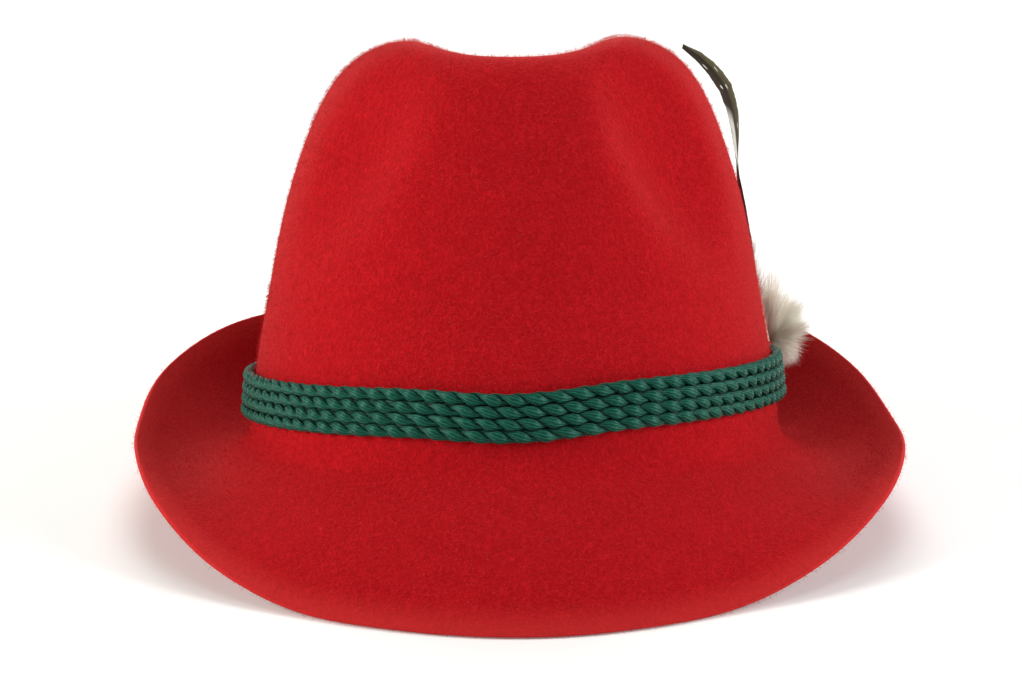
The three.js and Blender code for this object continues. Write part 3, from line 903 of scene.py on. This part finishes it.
class TRILBY_OT_fur_brush(bpy.types.Operator):
    """Grows the fur of the brush"""

    bl_idname = "trilby.fur_brush"
    bl_label = "Fur Brush"

    def execute(self, context):
        fur = context.scene.trilby_fur
        radius = fur.head_radius_mm * MM
        middle, outward, up, front, places = brush_places(radius)
        solids = solid_tree("felt_hood", *CORD_NODES)
        dice = random.Random(8)
        reach = max((p - middle).length for p in places)
        tips = [p for p in places if (p - middle).length > 0.72 * reach]

        def hair(way, spread, bow):
            """One hair from the head along a way, with its tip and its bend a little astray."""
            jitter = astray(dice, 1)
            root = middle + way.normalized() * radius * 0.35 + jitter * 0.7 * MM
            tip = middle + way + jitter * spread * MM
            bend = astray(dice, bow) * MM
            side = (tip - root).cross(astray(dice, 1)).normalized()
            points = [kept_off(solids, p) for p in bent_hair(root, tip, bend)]
            return points, side, dice.random() ** 3 * 0.45

        lines = []
        # Most hairs of the solid's own shape run to its outermost points, and none stays short
        for _ in range(fur.hairs):
            way = dice.choice(tips if dice.random() < 0.75 else places) - middle
            if way.length < 0.35 * reach:
                way = way.normalized() * reach * dice.uniform(0.4, 0.75)
            lines.append(hair(way * dice.uniform(0.7, 1.15), 0.9, 1.5))
        # Number, rise, way out, lean to the front, length, and how far tips stray and hairs bow
        groups = [
            (fur.upright_hairs, (1, 1), (-0.35, 0.45), (0.1, 0.35), (6, 14), 1.3, 2.0),
            (fur.hanging_hairs, (-1, -0.35), (0.35, 1), (0.15, 0.35), (7, 13), 0.9, 1.2),
            (fur.facing_hairs, (-0.6, 0.6), (1, 1), (0.0, 0.45), (6, 10), 0.9, 1.3),
            (fur.wisps, (1, 1), (-0.3, 0.02), (0.62, 0.3), (12, 32), 1.4, 2.2),
        ]
        for count, rise, out, lean, length, spread, bow in groups:
            for _ in range(count):
                way = up * dice.uniform(*rise) + outward * dice.uniform(*out)
                way += front * dice.gauss(*lean)
                lines.append(hair(way.normalized() * dice.uniform(*length) * MM, spread, bow))
        colors = opaque(fur.root_color), opaque(fur.tip_color)
        material = strand_material("undyed_animal_fur", *colors, 0.6)
        piece = strand_ribbons("fur_brush", lines, fur.hair_width_mm * MM, material)
        ridden(piece, "fur", "fur_tuft")
        return {"FINISHED"}


# Feathers

# The columns of a feather's places
CENTRE, ALONG, ACROSS, FACE, HALF = range(5)
# The share of a feather's length that is bare quill
BARE_QUILL = 0.13
VANE_COLUMNS = 9
# Tries at parting a barb from the next, on each side of a vane
PARTINGS = 9
SHAFT_STEPS = 40
# A cut this many times as wide as thick shows which way the vane lies
CLEARLY_WIDE = 3


class FeatherSettings(bpy.types.PropertyGroup):
    """Sizes and colours of the feathers."""

    dark_color: color_setting("Dark Barbs", "Darkest barbs", "#14100C")
    brown_color: color_setting("Brown Barbs", "Brown barbs", "#35291F")
    edge_color: color_setting("Edge", "Olive edge of the vane", "#5E583C")
    pale_color: color_setting("Pale Barbs", "Spots and downy barbs at the quill", "#CFCBC0")
    barbs: number_setting("Barbs", "Barbs on each side of a shaft", 150, 10)
    shaft_mm: mm_setting("Shaft", "Thickness of the shaft at the quill", 1.3, 0.2)
    down_count: number_setting("Down", "Downy barbs at each quill", 420)


def feather_frame(node, count=28):
    """Places from quill to tip of a feather: centre, ways along, across and out, half width."""
    low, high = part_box(node)
    middle = []
    for share in np.linspace(0.015, 0.985, count):
        level = low[2] + (high[2] - low[2]) * share
        middle.append(section(node, (0, 0, level), (0, 0, 1)).mean(axis=0))
    middle = np.array(middle)
    found = []
    for centre, along in zip(middle, unit(np.gradient(middle, axis=0))):
        points = section(node, centre, along)
        points = points[np.linalg.norm(points - centre, axis=1) < 20 * MM]
        centre = (points.min(axis=0) + points.max(axis=0)) / 2
        spread = points - centre
        _, sizes, axes = np.linalg.svd(spread, full_matrices=False)
        across = axes[0] if axes[0][1] > 0 else -axes[0]
        half = (spread @ across).max() / 2 - (spread @ across).min() / 2
        found.append((centre, along, across, half, sizes[0] > CLEARLY_WIDE * sizes[1]))
    wide = next(i for i, row in enumerate(found) if row[4])
    rows = []
    for index, (centre, along, across, half, _) in enumerate(found):
        if index < wide:
            across = found[wide][2]
        across = across - along * (across @ along)
        across /= np.linalg.norm(across)
        rows.append((centre, along, across, np.cross(across, along), half))
    return rows


def located(rows, share):
    """The feather's place before a share of its length, and how far past it the share lies."""
    at = min(max(share, 0.0), 1.0) * (len(rows) - 1)
    low = min(int(at), len(rows) - 2)
    return low, at - low


def between(rows, column, share):
    """A point or a way of a feather, read at a share of its length."""
    low, past = located(rows, share)
    return Vector(rows[low][column]).lerp(Vector(rows[low + 1][column]), past)


def half_width(rows, share):
    """Half a feather's width, read at a share of its length."""
    low, past = located(rows, share)
    return rows[low][HALF] + (rows[low + 1][HALF] - rows[low][HALF]) * past


def vane_half(rows, feather, side, seed):
    """One side of a vane as a pleated sheet, one pleat a barb, with barbs parted here and there."""
    dice = random.Random(seed)
    shape = bmesh.new()
    bmesh.ops.create_grid(shape, x_segments=2 * feather.barbs, y_segments=VANE_COLUMNS, size=1.0)
    uv = shape.loops.layers.uv.new("UVMap")
    lengths = [dice.uniform(0.94, 1.03) for _ in range(feather.barbs + 1)]
    parted = {dice.randrange(feather.barbs) for _ in range(PARTINGS)}
    spots = {}
    for vert in shape.verts:
        row = round((vert.co.x + 1) * feather.barbs)
        share = (vert.co.y + 1) / 2
        barb, valley = divmod(row, 2)
        start = BARE_QUILL + (1 - BARE_QUILL) * row / (2 * feather.barbs)
        # Barbs sweep towards the tip, least near it
        sweep = 0.12 * (1 - start) + 0.03
        place = min(start + sweep * share**0.8, 0.999)
        reach = half_width(rows, place) * (0.93 if valley else lengths[barb]) * share
        # The sheet is cupped, and each barb stands a little above its valleys
        lift = (0.35 * (1 - 1.7 * share * share) + (0 if valley else 0.16)) * MM
        point = between(rows, CENTRE, place) + between(rows, ACROSS, place) * side * reach
        point += between(rows, FACE, place) * lift
        if barb in parted and not valley:
            point -= between(rows, ALONG, place) * 0.5 * MM * share**2
        spots[vert] = (0.5 + side * share / 2, start)
        vert.co = point
    for face in shape.faces:
        for loop in face.loops:
            loop[uv].uv = spots[loop.vert]
    if side < 0:
        bmesh.ops.reverse_faces(shape, faces=shape.faces)
    return mesh_of("vane_half", shape)


def feather_vane(name, rows, feather, seed, material):
    """Both sides of a feather's vane as one piece."""
    shape = bmesh.new()
    for side in (-1, 1):
        half = vane_half(rows, feather, side, seed + side)
        shape.from_mesh(half)
        bpy.data.meshes.remove(half)
    return object_of(name, mesh_of(name, shape, soft=True), [material])


def feather_shaft(node, rows, feather, material):
    """A feather's tapering shaft, on the outward face of its vane, marked along its length."""
    shares = [step / SHAFT_STEPS for step in range(SHAFT_STEPS + 1)]
    points = [between(rows, CENTRE, s) + between(rows, FACE, s) * 0.2 * MM for s in shares]
    line = (np.array(points), [1 - 0.85 * s for s in shares])
    curve = poly_curve(node + "_rachis", [line], feather.shaft_mm * MM / 2, 2)
    curve.data.use_fill_caps = True
    shaft = baked(curve, node + "_shaft", [material])
    smooth(shaft.data)
    low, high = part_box(node)
    span = high[2] - low[2]
    write_attribute(shaft.data, "along", [(v.co.z - low[2]) / span for v in shaft.data.vertices])
    return shaft


def down_lines(rows, count, dice):
    """Downy barbs that stand off both sides of a quill."""
    lines = []
    for _ in range(count):
        share = dice.uniform(0.02, 0.3)
        root = between(rows, CENTRE, share)
        side = dice.choice((-1, 1))
        way = between(rows, ACROSS, share) * side * dice.uniform(0.4, 1.0)
        way += between(rows, ALONG, share) * dice.uniform(0.5, 1.5)
        way += between(rows, FACE, share) * dice.uniform(-0.12, 0.5)
        tip = root + way.normalized() * (dice.uniform(5, 11) * MM)
        bend = astray(dice, 1.4) * MM
        turn = (tip - root).cross(astray(dice, 1)).normalized()
        lines.append((bent_hair(root, tip, bend), turn, dice.random() * 0.5))
    return lines


class TRILBY_OT_feathers(bpy.types.Operator):
    """Makes the vanes, shafts and down of both feathers"""

    bl_idname = "trilby.feathers"
    bl_label = "Feathers"

    def execute(self, context):
        feather = context.scene.trilby_feather
        horn = shaft_material()
        down = strand_material("feather_down", linear("#A79F8F"), linear("#E9E6DE"), 0.7)
        barbs = vane_material(feather)
        for number, node in enumerate(FEATHER_NODES):
            rows = feather_frame(node)
            dice = random.Random(40 + number)
            vane = feather_vane(node + "_vane", rows, feather, 60 + number * 2, barbs)
            ridden(vane, "feather", node)
            ridden(feather_shaft(node, rows, feather, horn), "feather")
            lines = down_lines(rows, feather.down_count, dice)
            ridden(strand_ribbons(node + "_down", lines, 0.1 * MM, down), "feather")
        return {"FINISHED"}


# Stage

# The place in the middle of the camera's view
LOOKED_AT = Vector((-2.04, 8.46, 49.76)) * MM


class StageSettings(bpy.types.PropertyGroup):
    """Floor, lights and camera."""

    floor_color: color_setting("Floor", "Colour of the floor", "#ECEBE8")
    floor_glow: number_setting("Floor Glow", "Light that the white board gives back", 0.12)
    left_power: power_setting("Left Light", "Power of the light in front on the left", 42.0)
    right_power: power_setting("Right Light", "Power of the light in front on the right", 38.0)
    top_power: power_setting("Top Light", "Power of the light overhead", 6.0)
    back_power: power_setting("Back Light", "Power of the light on the floor behind", 40.0)
    room_light: number_setting("Room Light", "Even light from all sides", 0.15)
    lens_mm: mm_setting("Lens", "Focal length of the camera", 108.5, 20)
    distance: number_setting("Distance", "From the camera to the hat", 1.0, 0.3, unit="LENGTH")
    elevation: angle_setting("Elevation", "Height of the camera above the floor, as an angle", 13.79)
    azimuth: angle_setting("Azimuth", "Way round the hat from its front", -0.6)


def aimed(place, target):
    """A camera's or light's placement at a place, looking at a target."""
    turn = (Vector(target) - Vector(place)).to_track_quat("-Z", "Y")
    return Matrix.Translation(place) @ turn.to_matrix().to_4x4()


def area_light(name, place, target, size, power, color):
    """Hangs a soft round light that shines at a target."""
    light = bpy.data.lights.new(name, "AREA")
    light.shape = "DISK"
    light.size = size
    light.energy = power
    light.color = linear(color)[:3]
    object_of(name, light).matrix_world = aimed(place, target)


class TRILBY_OT_stage(bpy.types.Operator):
    """Lays the pale floor, hangs the soft lights and sets the camera"""

    bl_idname = "trilby.stage"
    bl_label = "Stage"

    def execute(self, context):
        stage = context.scene.trilby_stage
        shape = bmesh.new()
        bmesh.ops.create_circle(shape, cap_ends=True, segments=96, radius=7.0)
        floor = object_of("studio_floor", mesh_of("studio_floor", shape), [floor_material(stage)])
        for light in [
            ("left_light", (-1.85, -0.5, 0.75), LOOKED_AT, 1.25, stage.left_power, "#FFFBF6"),
            ("right_light", (1.85, -0.35, 0.8), LOOKED_AT, 1.25, stage.right_power, "#FBFCFF"),
            ("top_light", (0.1, -0.2, 1.9), LOOKED_AT, 1.2, stage.top_power, "#FFFFFF"),
            ("back_light", (0.0, 1.9, 1.9), (0.0, 1.3, 0.0), 1.6, stage.back_power, "#FFFFFF"),
        ]:
            area_light(*light)
        world = bpy.data.worlds.new("studio")
        world.use_nodes = True
        world.node_tree.nodes.clear()
        back = add_node(
            world.node_tree,
            "ShaderNodeBackground",
            {"Color": linear("#FAFAF8"), "Strength": stage.room_light},
        )
        add_node(world.node_tree, "ShaderNodeOutputWorld", {0: back})
        context.scene.world = world
        camera = bpy.data.cameras.new("camera")
        camera.lens = stage.lens_mm
        camera.sensor_width = 36
        camera.clip_start = 0.05
        holder = object_of("camera", camera)
        turn, rise = stage.azimuth, stage.elevation
        level = math.cos(rise)
        away = Vector((math.sin(turn) * level, -math.cos(turn) * level, math.sin(rise)))
        holder.matrix_world = aimed(LOOKED_AT + away * stage.distance, LOOKED_AT)
        context.scene.camera = holder
        context.scene.view_settings.view_transform = "Standard"
        context.scene.view_settings.look = "None"
        return {"FINISHED"}


SETTINGS = [
    ("trilby_felt", FeltSettings),
    ("trilby_cord", CordSettings),
    ("trilby_fur", FurSettings),
    ("trilby_feather", FeatherSettings),
    ("trilby_stage", StageSettings),
]
STEPS = [
    TRILBY_OT_felt_hood,
    TRILBY_OT_felt_nap,
    TRILBY_OT_band_cords,
    TRILBY_OT_fur_brush,
    TRILBY_OT_feathers,
    TRILBY_OT_stage,
]


class TRILBY_PT_panel(bpy.types.Panel):
    """Lists the steps that dress the trilby"""

    bl_idname = "TRILBY_PT_panel"
    bl_label = "Felt Trilby"
    bl_space_type = "VIEW_3D"
    bl_region_type = "UI"
    bl_category = "Trilby"

    def draw(self, context):
        for step in STEPS:
            self.layout.operator(step.bl_idname)


def register():
    """Registers the settings, the steps and the panel."""
    for _, group in SETTINGS:
        bpy.utils.register_class(group)
    for step in STEPS:
        bpy.utils.register_class(step)
    bpy.utils.register_class(TRILBY_PT_panel)
    for name, group in SETTINGS:
        setattr(bpy.types.Scene, name, bpy.props.PointerProperty(type=group))


def unregister():
    """Takes the settings, the steps and the panel away again."""
    for name, _ in reversed(SETTINGS):
        delattr(bpy.types.Scene, name)
    bpy.utils.unregister_class(TRILBY_PT_panel)
    for step in reversed(STEPS):
        bpy.utils.unregister_class(step)
    for _, group in reversed(SETTINGS):
        bpy.utils.unregister_class(group)


def main():
    """Dresses the hat step by step."""
    register()
    for step in STEPS:
        group, name = step.bl_idname.split(".")
        getattr(getattr(bpy.ops, group), name)()


if __name__ == "__main__":
    main()
